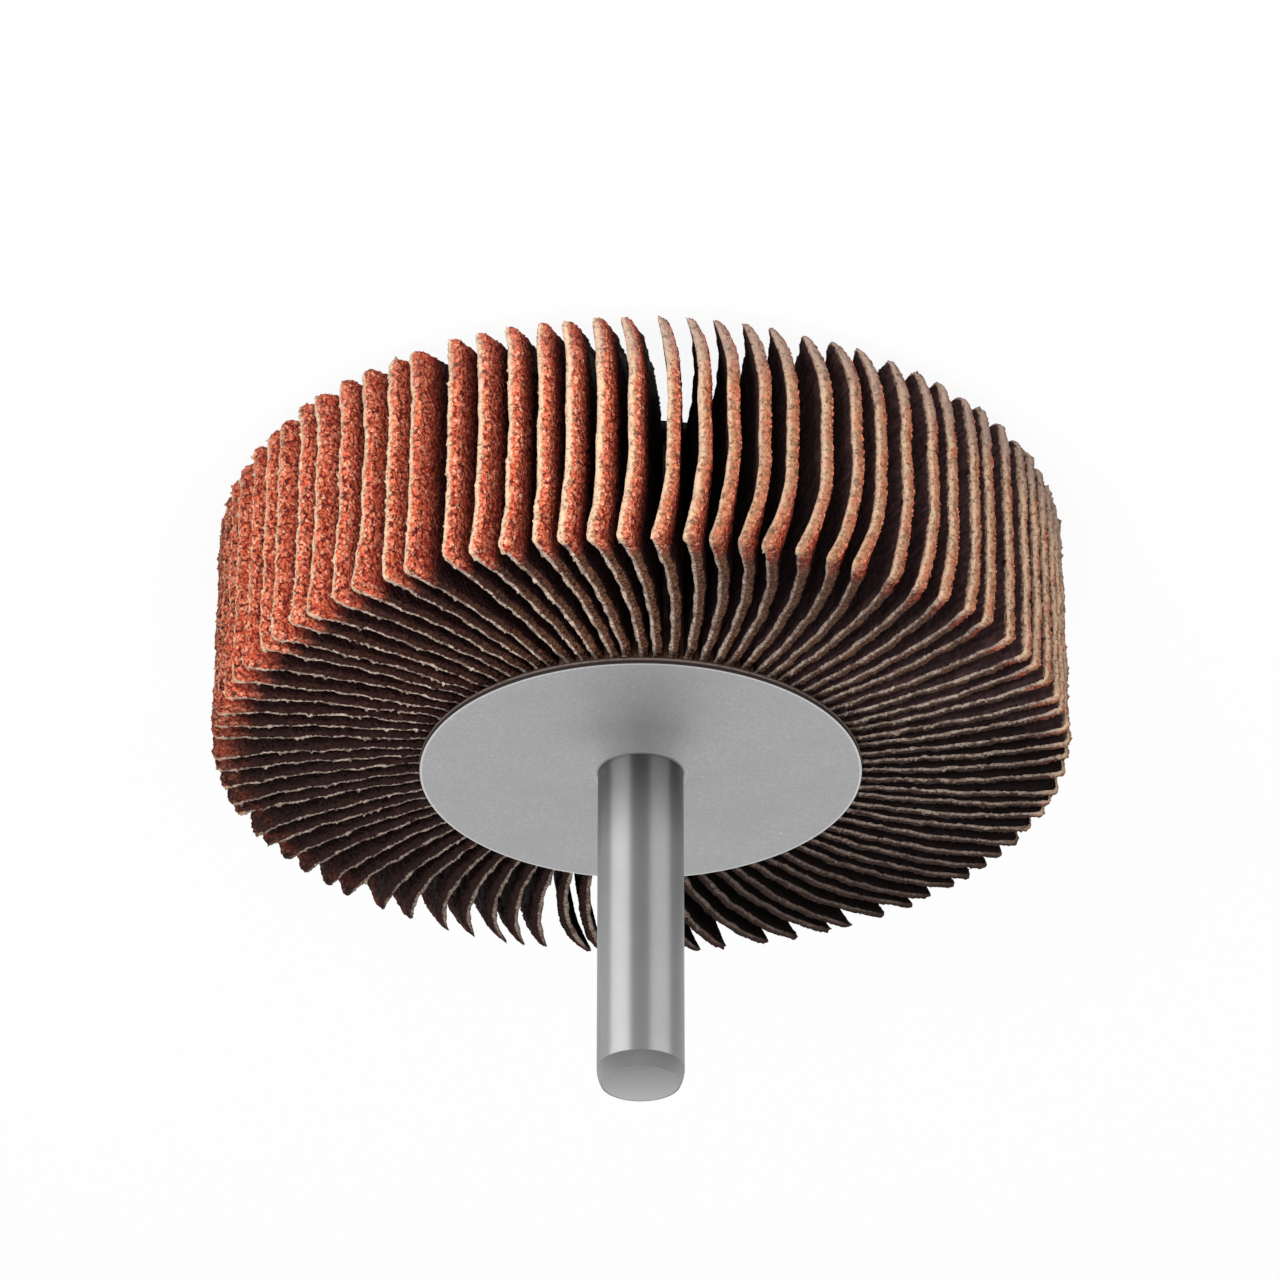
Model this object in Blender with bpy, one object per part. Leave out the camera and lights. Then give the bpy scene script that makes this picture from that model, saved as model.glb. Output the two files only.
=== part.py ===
"""Flap wheel on a straight shank, in metres, with +Z up.

The wheel stands on its rear disc, with its shank pointing up along +Z. The origin is on the axis, in the plane of
the rear disc's outer face. Seen from the shank, the flaps lean counter-clockwise and carry their grit on the
clockwise side.
"""

import math
import random

import bmesh
import bpy
from mathutils import Vector

# Flaps: a trimmed rim of abrasive cloth sheets
WHEEL_RADIUS = 0.0300
FLAP_WIDTH = 0.0175
FLAP_COUNT = 84
TIP_THICKNESS = 0.00082
ROOT_THICKNESS = 0.00068
ROOT_LEAN = math.radians(6.0)
TIP_LEAN = math.radians(11.0)
LEAN_POWER = 2.0
FRONT_CORNER_CURL = math.radians(13.0)
FRONT_CURL_REACH = 0.0080
REAR_CORNER_CURL = math.radians(9.0)
REAR_CURL_REACH = 0.0050

# How the flaps stand round the core: bearings are those of the flap roots
SPACING_SEED = 3742
SPACING_SPREAD = math.radians(0.35)
TIP_LEAN_SPREAD = math.radians(2.5)
GAP_BEARING = math.radians(-67.9)
GAP_EXTRA = math.radians(1.15)
GAP_REACH = math.radians(15.0)
CROWDING = 0.03
CROWDED_BEARING = math.radians(-87.2)
LEAST_CURL = 0.35
CURL_SPREAD = 0.25
CURL_ZONES = (
    (math.radians(-123.0), 1.2, math.radians(20.0)),
    (math.radians(54.0), 1.75, math.radians(14.0)),
    (math.radians(115.0), 1.7, math.radians(35.0)),
)
STRAY_LEANS = {31: math.radians(-4.0), 32: math.radians(8.0)}

# Resin core that holds the flap roots, with a lip that carries the front disc
CORE_RADIUS = 0.0140
LIP_RADIUS = 0.0136
LIP_HEIGHT = 0.00055

# Pressed end discs
DISC_RADIUS = 0.0155
DISC_THICKNESS = 0.00060
DISC_EDGE_ROUND = 0.00015
DISH_RADIUS = 0.0078
DISH_FLOOR_RADIUS = 0.0064
DISH_DEPTH = 0.00130

# Turned spindle, with the shank as its long end
SHANK_RADIUS = 0.0030
SHANK_LENGTH = 0.0240
SHANK_CHAMFER = 0.00035
NECK_RADIUS = 0.0024
RIVET_RADIUS = 0.0042
RIVET_HEIGHT = 0.00080
RIVET_BEVEL = 0.00040
KNURL_HEIGHT = 0.00020
KNURL_LENGTH = 0.0080
KNURL_RUNOUT = 0.00030

# Clearances
SEAT_GAP = 0.00015
FIT_GAP = 0.00010

# Fineness of the meshes
AXIAL_PARTS = 4
RADIAL_PARTS = 4
WALK_PARTS = 48
DISC_STEPS = 48
SPINDLE_STEPS = 40
MERGE_DISTANCE = 0.000001
SHARP_ANGLE = math.radians(35.0)

# Sizes that follow from those above
FLAP_PITCH = 2.0 * math.pi / FLAP_COUNT
PACK_BOTTOM = DISC_THICKNESS + SEAT_GAP
PACK_TOP = PACK_BOTTOM + FLAP_WIDTH
FRONT_DISC_BOTTOM = PACK_TOP + LIP_HEIGHT + SEAT_GAP
SHANK_TOP = FRONT_DISC_BOTTOM + DISC_THICKNESS + SHANK_LENGTH
RIVET_TOP = DISH_DEPTH - SEAT_GAP
RIVET_BOTTOM = RIVET_TOP - RIVET_HEIGHT
SHOULDER_HEIGHT = DISH_DEPTH + DISC_THICKNESS + SEAT_GAP
KNURL_MIDDLE = (SHOULDER_HEIGHT + PACK_TOP) / 2.0
KNURL_RADIUS = SHANK_RADIUS + KNURL_HEIGHT
BORE_RADIUS = KNURL_RADIUS + FIT_GAP


def make_material(name, color, roughness, metallic):
    """Makes a plain Principled material."""
    material = bpy.data.materials.new(name)
    material.use_nodes = True
    surface = material.node_tree.nodes["Principled BSDF"]
    surface.inputs["Base Color"].default_value = (*color, 1.0)
    surface.inputs["Roughness"].default_value = roughness
    surface.inputs["Metallic"].default_value = metallic
    material.diffuse_color = (*color, 1.0)
    return material


def add_part(name, solid, height, carrier, material):
    """Turns a bmesh into a named object at a height on the axis."""
    bmesh.ops.recalc_face_normals(solid, faces=solid.faces)
    mesh = bpy.data.meshes.new(name)
    solid.to_mesh(mesh)
    solid.free()
    mesh.shade_smooth()
    mesh.set_sharp_from_angle(angle=SHARP_ANGLE)
    mesh.materials.append(material)
    part = bpy.data.objects.new(name, mesh)
    part.location = (0.0, 0.0, height)
    part.parent = carrier
    bpy.context.scene.collection.objects.link(part)
    return part


def turn_profile(profile, steps, closed):
    """Turns a profile of (radius, height) points once round the axis."""
    solid = bmesh.new()
    points = [solid.verts.new((radius, 0.0, height)) for radius, height in profile]
    edges = [solid.edges.new(pair) for pair in zip(points, points[1:])]
    if closed:
        edges.append(solid.edges.new((points[-1], points[0])))
    bmesh.ops.spin(solid, geom=points + edges, axis=(0.0, 0.0, 1.0), cent=(0.0, 0.0, 0.0),
                   angle=2.0 * math.pi, steps=steps, use_merge=True)
    bmesh.ops.remove_doubles(solid, verts=solid.verts, dist=MERGE_DISTANCE)
    return solid


def disc_edge():
    """Gives the rounded outer edge of a disc, from its lower to its upper face."""
    return [
        (DISC_RADIUS - DISC_EDGE_ROUND, 0.0),
        (DISC_RADIUS, DISC_EDGE_ROUND),
        (DISC_RADIUS, DISC_THICKNESS - DISC_EDGE_ROUND),
        (DISC_RADIUS - DISC_EDGE_ROUND, DISC_THICKNESS),
    ]


def make_front_disc(carrier, material):
    """Makes the flat disc that the shank comes out of."""
    hole = SHANK_RADIUS + FIT_GAP
    profile = [(hole, 0.0), *disc_edge(), (hole, DISC_THICKNESS)]
    solid = turn_profile(profile, DISC_STEPS, closed=True)
    return add_part("front_disc", solid, FRONT_DISC_BOTTOM, carrier, material)


def dish_wall_shift():
    """Gives how far the dish's inner corners move outwards to keep the sheet's thickness."""
    slope = math.atan2(DISH_DEPTH, DISH_RADIUS - DISH_FLOOR_RADIUS)
    return DISC_THICKNESS * math.tan(slope / 2.0)


def make_rear_disc(carrier, material):
    """Makes the disc that the wheel stands on, dished in the middle to hold the riveted head."""
    hole = NECK_RADIUS + FIT_GAP
    shift = dish_wall_shift()
    profile = [
        (hole, DISH_DEPTH),
        (DISH_FLOOR_RADIUS, DISH_DEPTH),
        (DISH_RADIUS, 0.0),
        *disc_edge(),
        (DISH_RADIUS + shift, DISC_THICKNESS),
        (DISH_FLOOR_RADIUS + shift, DISH_DEPTH + DISC_THICKNESS),
        (hole, DISH_DEPTH + DISC_THICKNESS),
    ]
    solid = turn_profile(profile, DISC_STEPS, closed=True)
    return add_part("rear_disc", solid, 0.0, carrier, material)


def raise_knurl(solid, bottom, top):
    """Lifts every second line of the spindle between two heights into a tooth."""
    step = 2.0 * math.pi / SPINDLE_STEPS
    for vertex in solid.verts:
        line = round(math.atan2(vertex.co.y, vertex.co.x) / step)
        if bottom < vertex.co.z < top and line % 2:
            radial = Vector((vertex.co.x, vertex.co.y, 0.0)).normalized()
            vertex.co += radial * KNURL_HEIGHT


def make_spindle(carrier, material):
    """Makes the turned spindle: riveted head, neck, shoulder, knurl and shank."""
    knurl_bottom = KNURL_MIDDLE - KNURL_LENGTH / 2.0
    knurl_top = KNURL_MIDDLE + KNURL_LENGTH / 2.0
    profile = [
        (0.0, RIVET_BOTTOM),
        (RIVET_RADIUS - 2.0 * RIVET_BEVEL, RIVET_BOTTOM),
        (RIVET_RADIUS, RIVET_BOTTOM + RIVET_BEVEL),
        (RIVET_RADIUS, RIVET_TOP),
        (NECK_RADIUS, RIVET_TOP),
        (NECK_RADIUS, SHOULDER_HEIGHT),
        (SHANK_RADIUS, SHOULDER_HEIGHT),
        (SHANK_RADIUS, knurl_bottom),
        (SHANK_RADIUS, knurl_bottom + KNURL_RUNOUT),
        (SHANK_RADIUS, knurl_top - KNURL_RUNOUT),
        (SHANK_RADIUS, knurl_top),
        (SHANK_RADIUS, SHANK_TOP - SHANK_CHAMFER),
        (SHANK_RADIUS - SHANK_CHAMFER, SHANK_TOP),
        (0.0, SHANK_TOP),
    ]
    solid = turn_profile(profile, SPINDLE_STEPS, closed=False)
    raise_knurl(solid, knurl_bottom + KNURL_RUNOUT / 2.0, knurl_top - KNURL_RUNOUT / 2.0)
    return add_part("spindle", solid, 0.0, carrier, material)


def flap_poses():
    """Gives each flap's root angle, the extra lean of its tip and the strength of its corner curl."""
    spread = random.Random(SPACING_SEED)
    level = CROWDING * math.sin(GAP_BEARING - CROWDED_BEARING)
    poses = []
    for index in range(FLAP_COUNT):
        even = GAP_BEARING + (index + 0.5) * FLAP_PITCH
        root_angle = even + level - CROWDING * math.sin(even - CROWDED_BEARING)
        away = math.remainder(even - GAP_BEARING, 2.0 * math.pi)
        root_angle += math.copysign(GAP_EXTRA / 2.0, away) * math.exp(-abs(away) / GAP_REACH)
        root_angle += spread.uniform(-SPACING_SPREAD, SPACING_SPREAD)
        lean_offset = spread.uniform(-TIP_LEAN_SPREAD, TIP_LEAN_SPREAD)
        curl_share = LEAST_CURL + spread.uniform(-CURL_SPREAD, CURL_SPREAD)
        for bearing, extra, width in CURL_ZONES:
            curl_share += extra * math.exp(-(math.remainder(even - bearing, 2.0 * math.pi) / width) ** 2)
        poses.append((root_angle, STRAY_LEANS.get(index, lean_offset), curl_share))
    return poses


def lean_at(share, tip_lean):
    """Gives the angle between a sheet and the radius, at a share of its length from the root."""
    return ROOT_LEAN + (tip_lean - ROOT_LEAN) * share ** LEAN_POWER


def thickness_at(share):
    """Gives a sheet's thickness at a share of its length from the root, where its coat is pressed thin."""
    return ROOT_THICKNESS + (TIP_THICKNESS - ROOT_THICKNESS) * share


def flap_length(tip_lean):
    """Gives the sheet length that puts the tip on the wheel's radius, where the rim is trimmed round."""
    shares = [(part + 0.5) / WALK_PARTS for part in range(WALK_PARTS)]
    outward = sum(math.cos(lean_at(share, tip_lean)) for share in shares) / WALK_PARTS
    return (WHEEL_RADIUS - CORE_RADIUS) / outward


def corner_curl(height):
    """Gives the extra lean of the tip at a height above the rear edge: none in the middle, most at the corners."""
    front = max(0.0, 1.0 - (FLAP_WIDTH - height) / FRONT_CURL_REACH)
    rear = max(0.0, 1.0 - height / REAR_CURL_REACH)
    return FRONT_CORNER_CURL * front ** 2 + REAR_CORNER_CURL * rear ** 2


def walk_sheet(root_angle, tip_lean):
    """Walks out along a flap's section and gives (radius, angle, lean, thickness) at each station."""
    length = flap_length(tip_lean)
    radius = CORE_RADIUS
    angle = root_angle
    share = 0.0
    stations = [(radius, angle, ROOT_LEAN, ROOT_THICKNESS)]
    for part in range(1, RADIAL_PARTS + 1):
        target = math.sin(math.pi / 2.0 * part / RADIAL_PARTS)
        step = (target - share) / WALK_PARTS
        for _ in range(WALK_PARTS):
            lean = lean_at(share + step / 2.0, tip_lean)
            radius += math.cos(lean) * step * length
            angle += math.sin(lean) * step * length / radius
            share += step
        stations.append((radius, angle, lean_at(share, tip_lean), thickness_at(share)))
    return stations


def add_section(solid, stations, height):
    """Adds the two rows of vertices of a flap's section: its grit side and its cloth side."""
    grit_row = []
    cloth_row = []
    for radius, angle, lean, thickness in stations:
        centre = Vector((radius * math.cos(angle), radius * math.sin(angle), height))
        across = angle + lean - math.pi / 2.0
        half = Vector((math.cos(across), math.sin(across), 0.0)) * thickness / 2.0
        grit_row.append(solid.verts.new(centre + half))
        cloth_row.append(solid.verts.new(centre - half))
    return grit_row, cloth_row


def add_flap(solid, pose, heights):
    """Adds one curved and bowed flap, open at its root, and gives its sections."""
    root_angle, lean_offset, curl_share = pose
    sections = []
    for height in heights:
        tip_lean = TIP_LEAN + lean_offset + curl_share * corner_curl(height)
        stations = walk_sheet(root_angle, tip_lean)
        sections.append(add_section(solid, stations, height))
    for (grit, cloth), (next_grit, next_cloth) in zip(sections, sections[1:]):
        for out in range(RADIAL_PARTS):
            solid.faces.new((grit[out], grit[out + 1], next_grit[out + 1], next_grit[out]))
            solid.faces.new((cloth[out], next_cloth[out], next_cloth[out + 1], cloth[out + 1]))
        solid.faces.new((grit[-1], cloth[-1], next_cloth[-1], next_grit[-1]))
    for grit, cloth in (sections[0], sections[-1]):
        for out in range(RADIAL_PARTS):
            solid.faces.new((grit[out], cloth[out], cloth[out + 1], grit[out + 1]))
    return sections


def add_core(solid, flaps, root_angles):
    """Closes the gaps between the flap roots and adds the core's ends, its recess, its bore and its lip."""
    recess = DISH_RADIUS + dish_wall_shift() + FIT_GAP
    recess_top = SHOULDER_HEIGHT - PACK_BOTTOM
    lip_top = FLAP_WIDTH + LIP_HEIGHT
    profile = [
        (recess, 0.0),
        (recess, recess_top),
        (BORE_RADIUS, recess_top),
        (BORE_RADIUS, lip_top),
        (LIP_RADIUS, lip_top),
        (LIP_RADIUS, FLAP_WIDTH),
    ]
    rings = []
    for radius, height in profile:
        ring = [solid.verts.new((radius * math.cos(angle), radius * math.sin(angle), height))
                for angle in root_angles]
        rings.append(ring)
    for index, sections in enumerate(flaps):
        after = (index + 1) % FLAP_COUNT
        roots = [cloth[0] for _, cloth in sections]
        next_roots = [grit[0] for grit, _ in flaps[after]]
        solid.faces.new(roots + next_roots[::-1])
        for section, next_section, ring in ((sections[0], flaps[after][0], rings[0]),
                                            (sections[-1], flaps[after][-1], rings[-1])):
            solid.faces.new((ring[index], section[0][0], section[1][0], next_section[0][0], ring[after]))
        for low, high in zip(rings, rings[1:]):
            solid.faces.new((low[index], low[after], high[after], high[index]))


def make_flap_pack(carrier, material):
    """Makes the flaps as one solid with the resin core that their roots are cast in."""
    solid = bmesh.new()
    heights = [FLAP_WIDTH * (1.0 - math.cos(math.pi * part / AXIAL_PARTS)) / 2.0
               for part in range(AXIAL_PARTS + 1)]
    poses = flap_poses()
    flaps = [add_flap(solid, pose, heights) for pose in poses]
    add_core(solid, flaps, [root_angle for root_angle, _, _ in poses])
    return add_part("flap_pack", solid, PACK_BOTTOM, carrier, material)


def main():
    """Clears the scene and builds the wheel."""
    for item in list(bpy.data.objects):
        bpy.data.objects.remove(item)
    wheel = bpy.data.objects.new("wheel", None)
    bpy.context.scene.collection.objects.link(wheel)
    steel = make_material("turned_steel", (0.42, 0.42, 0.42), 0.28, 1.0)
    sheet = make_material("sheet_steel", (0.40, 0.40, 0.41), 0.45, 1.0)
    abrasive = make_material("abrasive_cloth", (0.52, 0.09, 0.03), 0.85, 0.0)
    make_spindle(wheel, steel)
    make_front_disc(wheel, sheet)
    make_rear_disc(wheel, sheet)
    make_flap_pack(wheel, abrasive)


main()
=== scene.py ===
"""Looks of the flap wheel: its abrasive flaps, resin core, pressed end discs and turned spindle.

The wheel stands on its rear disc with the shank up along +Z, as the frame has it. The camera looks down at
the shank side and is rolled by half a turn, so that the shank points down in the picture.
"""

import logging
import math
import random
from dataclasses import dataclass, field
from enum import Enum

import bpy
import numpy as np
from mathutils import Matrix, Vector, geometry

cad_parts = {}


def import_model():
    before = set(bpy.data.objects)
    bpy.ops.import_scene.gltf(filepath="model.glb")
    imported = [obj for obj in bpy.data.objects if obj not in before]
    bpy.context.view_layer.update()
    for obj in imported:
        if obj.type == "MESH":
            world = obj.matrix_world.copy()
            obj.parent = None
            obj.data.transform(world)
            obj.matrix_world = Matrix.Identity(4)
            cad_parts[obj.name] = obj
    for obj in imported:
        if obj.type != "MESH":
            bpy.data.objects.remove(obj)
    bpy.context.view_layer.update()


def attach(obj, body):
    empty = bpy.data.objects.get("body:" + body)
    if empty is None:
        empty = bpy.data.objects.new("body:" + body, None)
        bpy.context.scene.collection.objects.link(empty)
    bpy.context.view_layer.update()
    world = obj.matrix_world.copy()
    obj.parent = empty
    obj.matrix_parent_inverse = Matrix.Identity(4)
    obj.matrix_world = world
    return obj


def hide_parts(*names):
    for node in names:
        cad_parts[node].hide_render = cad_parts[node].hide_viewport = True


LOG = logging.getLogger("flap_wheel")
MM = 0.001
Array = np.ndarray
Color = tuple[float, float, float]
Material = bpy.types.Material
Mesh = bpy.types.Mesh
Pair = tuple[float, float]
Piece = bpy.types.Object
Profile = list[Pair]
Socket = bpy.types.NodeSocket
Waves = tuple[Pair, ...]

# A source's name, the start and end of a stretch of its values, and the shares there if they aren't 0 and 1
Mask = tuple[object, ...]

# A colour, then the masks that let it show
Layer = tuple[object, ...]


class Slot(Enum):
    """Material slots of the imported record."""

    TURNED_STEEL = "turned_steel"
    SHEET_STEEL = "sheet_steel"
    ABRASIVE_CLOTH = "abrasive_cloth"


class Side(Enum):
    """The faces of a cut sheet, in the order of its material slots."""

    GRIT = 0
    CLOTH = 1
    CUT_EDGE = 2


class NodeSheet:
    """A node tree under construction."""

    def __init__(self, tree: bpy.types.NodeTree) -> None:
        """Starts on a tree."""
        self.tree = tree

    def add(self, kind: str, inputs: dict[object, object], output: object, **settings: object) -> Socket:
        """Adds a node.

        Args:
            kind: The shader node's kind.
            inputs: What to feed its inputs, by their names or numbers.
            output: Name or number of the output that is wanted.
            **settings: Values for the node's own properties.

        Returns:
            The output socket.
        """
        node = self.tree.nodes.new(f"ShaderNode{kind}")
        for key, value in settings.items():
            setattr(node, key, value)
        for key, value in inputs.items():
            self.feed(node.inputs[key], value)
        return node.outputs[output]

    def feed(self, socket: Socket, value: object) -> None:
        """Links a socket to another, or sets its value.

        Args:
            socket: The input socket.
            value: An output socket, a number or a colour.
        """
        if isinstance(value, Socket):
            self.tree.links.new(value, socket)
        elif isinstance(value, tuple) and len(value) == 3 and socket.type == "RGBA":
            socket.default_value = (*value, 1.0)
        else:
            socket.default_value = value

    def calc(self, operation: str, first: object, *others: object) -> Socket:
        """Adds a math node for each value after the first.

        Args:
            operation: The math nodes' operation.
            first: The first value.
            *others: Values that the result so far is combined with in turn.

        Returns:
            The result socket.
        """
        for other in others:
            first = self.add("Math", {0: first, 1: other}, 0, operation=operation)
        return first

    def times(self, *values: object) -> Socket:
        """Multiplies values."""
        return self.calc("MULTIPLY", *values)

    def plus(self, *values: object) -> Socket:
        """Adds up values."""
        return self.calc("ADD", *values)

    def minus(self, *values: object) -> Socket:
        """Takes the later values from the first."""
        return self.calc("SUBTRACT", *values)

    def span(self, value: object, low: float, high: float, start: object = 0.0, end: object = 1.0) -> Socket:
        """Maps a stretch of values smoothly to another.

        Args:
            value: The value to map.
            low: Where the stretch starts.
            high: Where it ends.
            start: The result at low.
            end: The result at high.

        Returns:
            The mapped value.
        """
        inputs = dict(enumerate((value, low, high, start, end)))
        return self.add("MapRange", inputs, 0, interpolation_type="SMOOTHSTEP")

    def blend(self, share: object, first: object, second: object) -> Socket:
        """Blends two colours, by the share of the second."""
        return self.add("Mix", {"Factor": share, 6: first, 7: second}, 2, data_type="RGBA")

    def seen(self) -> Socket:
        """Gives 1 for rays from the camera, from a mirror or through a gap, and 0 for the others."""
        rays = [self.add("LightPath", {}, f"Is {kind} Ray") for kind in ("Camera", "Glossy", "Transmission")]
        return self.calc("MAXIMUM", *rays)


class ShaderSheet(NodeSheet):
    """One material under construction, round a Principled shader."""

    def __init__(self, name: str, **textures: tuple[float, ...]) -> None:
        """Starts a material.

        Args:
            name: The material's name.
            **textures: Noises that masks can name, each with its size, octaves and roughness.
        """
        self.material = bpy.data.materials.new(name)
        self.material.use_nodes = True
        super().__init__(self.material.node_tree)
        self.surface = self.tree.nodes["Principled BSDF"]
        self.place = self.add("TexCoord", {}, "Object")
        self.sources = {title: self.noise(*settings) for title, settings in textures.items()}

    def finished(self, **values: object) -> Material:
        """Feeds inputs of the Principled shader.

        Args:
            **values: Socket names with underscores for spaces, and their values.

        Returns:
            The finished material.
        """
        for name, value in values.items():
            self.feed(self.surface.inputs[name.replace("_", " ")], value)
        return self.material

    def attribute(self, name: str) -> Socket:
        """Reads a number stored on the mesh under a name."""
        return self.add("Attribute", {}, "Fac", attribute_type="GEOMETRY", attribute_name=name)

    def along(self, axis: str) -> Socket:
        """Gives the place along an axis of the wheel, in metres: Z is the height above the floor."""
        return self.add("SeparateXYZ", {0: self.place}, axis)

    def radius(self) -> Socket:
        """Gives the distance from the wheel's axis, in metres."""
        return self.add("VectorMath", {0: self.stretch((1.0, 1.0, 0.0))}, "Value", operation="LENGTH")

    def stretch(self, factors: tuple[float, float, float]) -> Socket:
        """Scales the object's coordinates along X, Y and Z."""
        return self.add("VectorMath", {0: self.place, 1: factors}, 0, operation="MULTIPLY")

    def noise(self, size: float, detail: float = 2.0, roughness: float = 0.5, place: object = None) -> Socket:
        """Adds a noise texture.

        Args:
            size: Size of its features in metres.
            detail: Number of octaves.
            roughness: Weight of the finer octaves.
            place: Coordinates, where they aren't the object's own.

        Returns:
            A value round 0.5.
        """
        inputs = {"Vector": place or self.place, "Scale": 1.0 / size}
        return self.add("TexNoise", {**inputs, "Detail": detail, "Roughness": roughness}, "Fac")

    def drawn_out(self, length: float, size: float) -> Socket:
        """Gives coordinates for a noise with features of a length across the axis and a size along it."""
        return self.stretch((1.0 / length, 1.0 / length, 1.0 / size))

    def swing(self, value: Socket, size: object) -> Socket:
        """Gives how far a noise swings from its middle, times a size."""
        return self.times(self.minus(value, 0.5), size)

    def wavering(self, axis: str, size: float, reach: float) -> Socket:
        """Gives the place along an axis, shifted by a noise of a size, up to half the reach."""
        return self.plus(self.along(axis), self.swing(self.noise(size, 3.0), reach))

    def warp(self, size: float, reach: float) -> Socket:
        """Shifts the object's coordinates by noise.

        Args:
            size: Size of the noise's features in metres.
            reach: How far it shifts them, in metres.

        Returns:
            The shifted coordinates.
        """
        noise = self.add("TexNoise", {"Vector": self.place, "Scale": 1.0 / size}, "Color")
        inputs = {0: noise, 1: (reach, reach, reach), 2: self.place}
        return self.add("VectorMath", inputs, 0, operation="MULTIPLY_ADD")

    def grains(self, size: float) -> tuple[Socket, Socket]:
        """Adds a cell texture for grains of uneven shape.

        Args:
            size: Distance between grains in metres.

        Returns:
            The distance from each grain's middle, and a random value per grain.
        """
        unevenness = size * 0.9
        inputs = {"Vector": self.warp(unevenness, unevenness), "Scale": 1.0 / size}
        middle = self.add("TexVoronoi", inputs, "Distance", feature="F1")
        return middle, self.add("SeparateColor", {0: middle.node.outputs["Color"]}, 0)

    def source(self, name: str) -> Socket:
        """Gives the values that a mask reads.

        Args:
            name: A named source, an axis, the word radius, or else a number stored on the mesh.

        Returns:
            The values.
        """
        if name in self.sources:
            return self.sources[name]
        if name in ("X", "Y", "Z"):
            return self.along(name)
        return self.radius() if name == "radius" else self.attribute(name)

    def mask(self, *masks: Mask) -> Socket:
        """Gives the product of masks."""
        return self.times(*(self.span(self.source(name), *stretch) for name, *stretch in masks))

    def layered(self, color: object, *layers: Layer) -> Socket:
        """Lays colours over another, each as far as its masks let it show.

        Args:
            color: The lowest colour.
            *layers: The colours over it, in order.

        Returns:
            The colour on top.
        """
        for over, *masks in layers:
            color = self.blend(self.mask(*masks), color, over)
        return color

    def tones(self, value: object, stops: list[tuple[float, Color]]) -> Socket:
        """Adds a colour ramp.

        Args:
            value: Position on the ramp.
            stops: Positions and colours, in order.

        Returns:
            The colour.
        """
        color = self.add("ValToRGB", {0: value}, 0)
        ramp = color.node.color_ramp
        while len(ramp.elements) < len(stops):
            ramp.elements.new(0.5)
        for element, (position, tone) in zip(ramp.elements, stops):
            element.position = position
            element.color = (*tone, 1.0)
        return color

    def bump(self, height: object, depth: float, below: object = None) -> Socket:
        """Adds a bump.

        Args:
            height: The height, from 0 to 1.
            depth: Its depth in metres.
            below: The normal of a coarser bump.

        Returns:
            The bent normal.
        """
        inputs = {"Distance": depth, "Height": height}
        if below is not None:
            inputs["Normal"] = below
        return self.add("Bump", inputs, 0)


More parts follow.
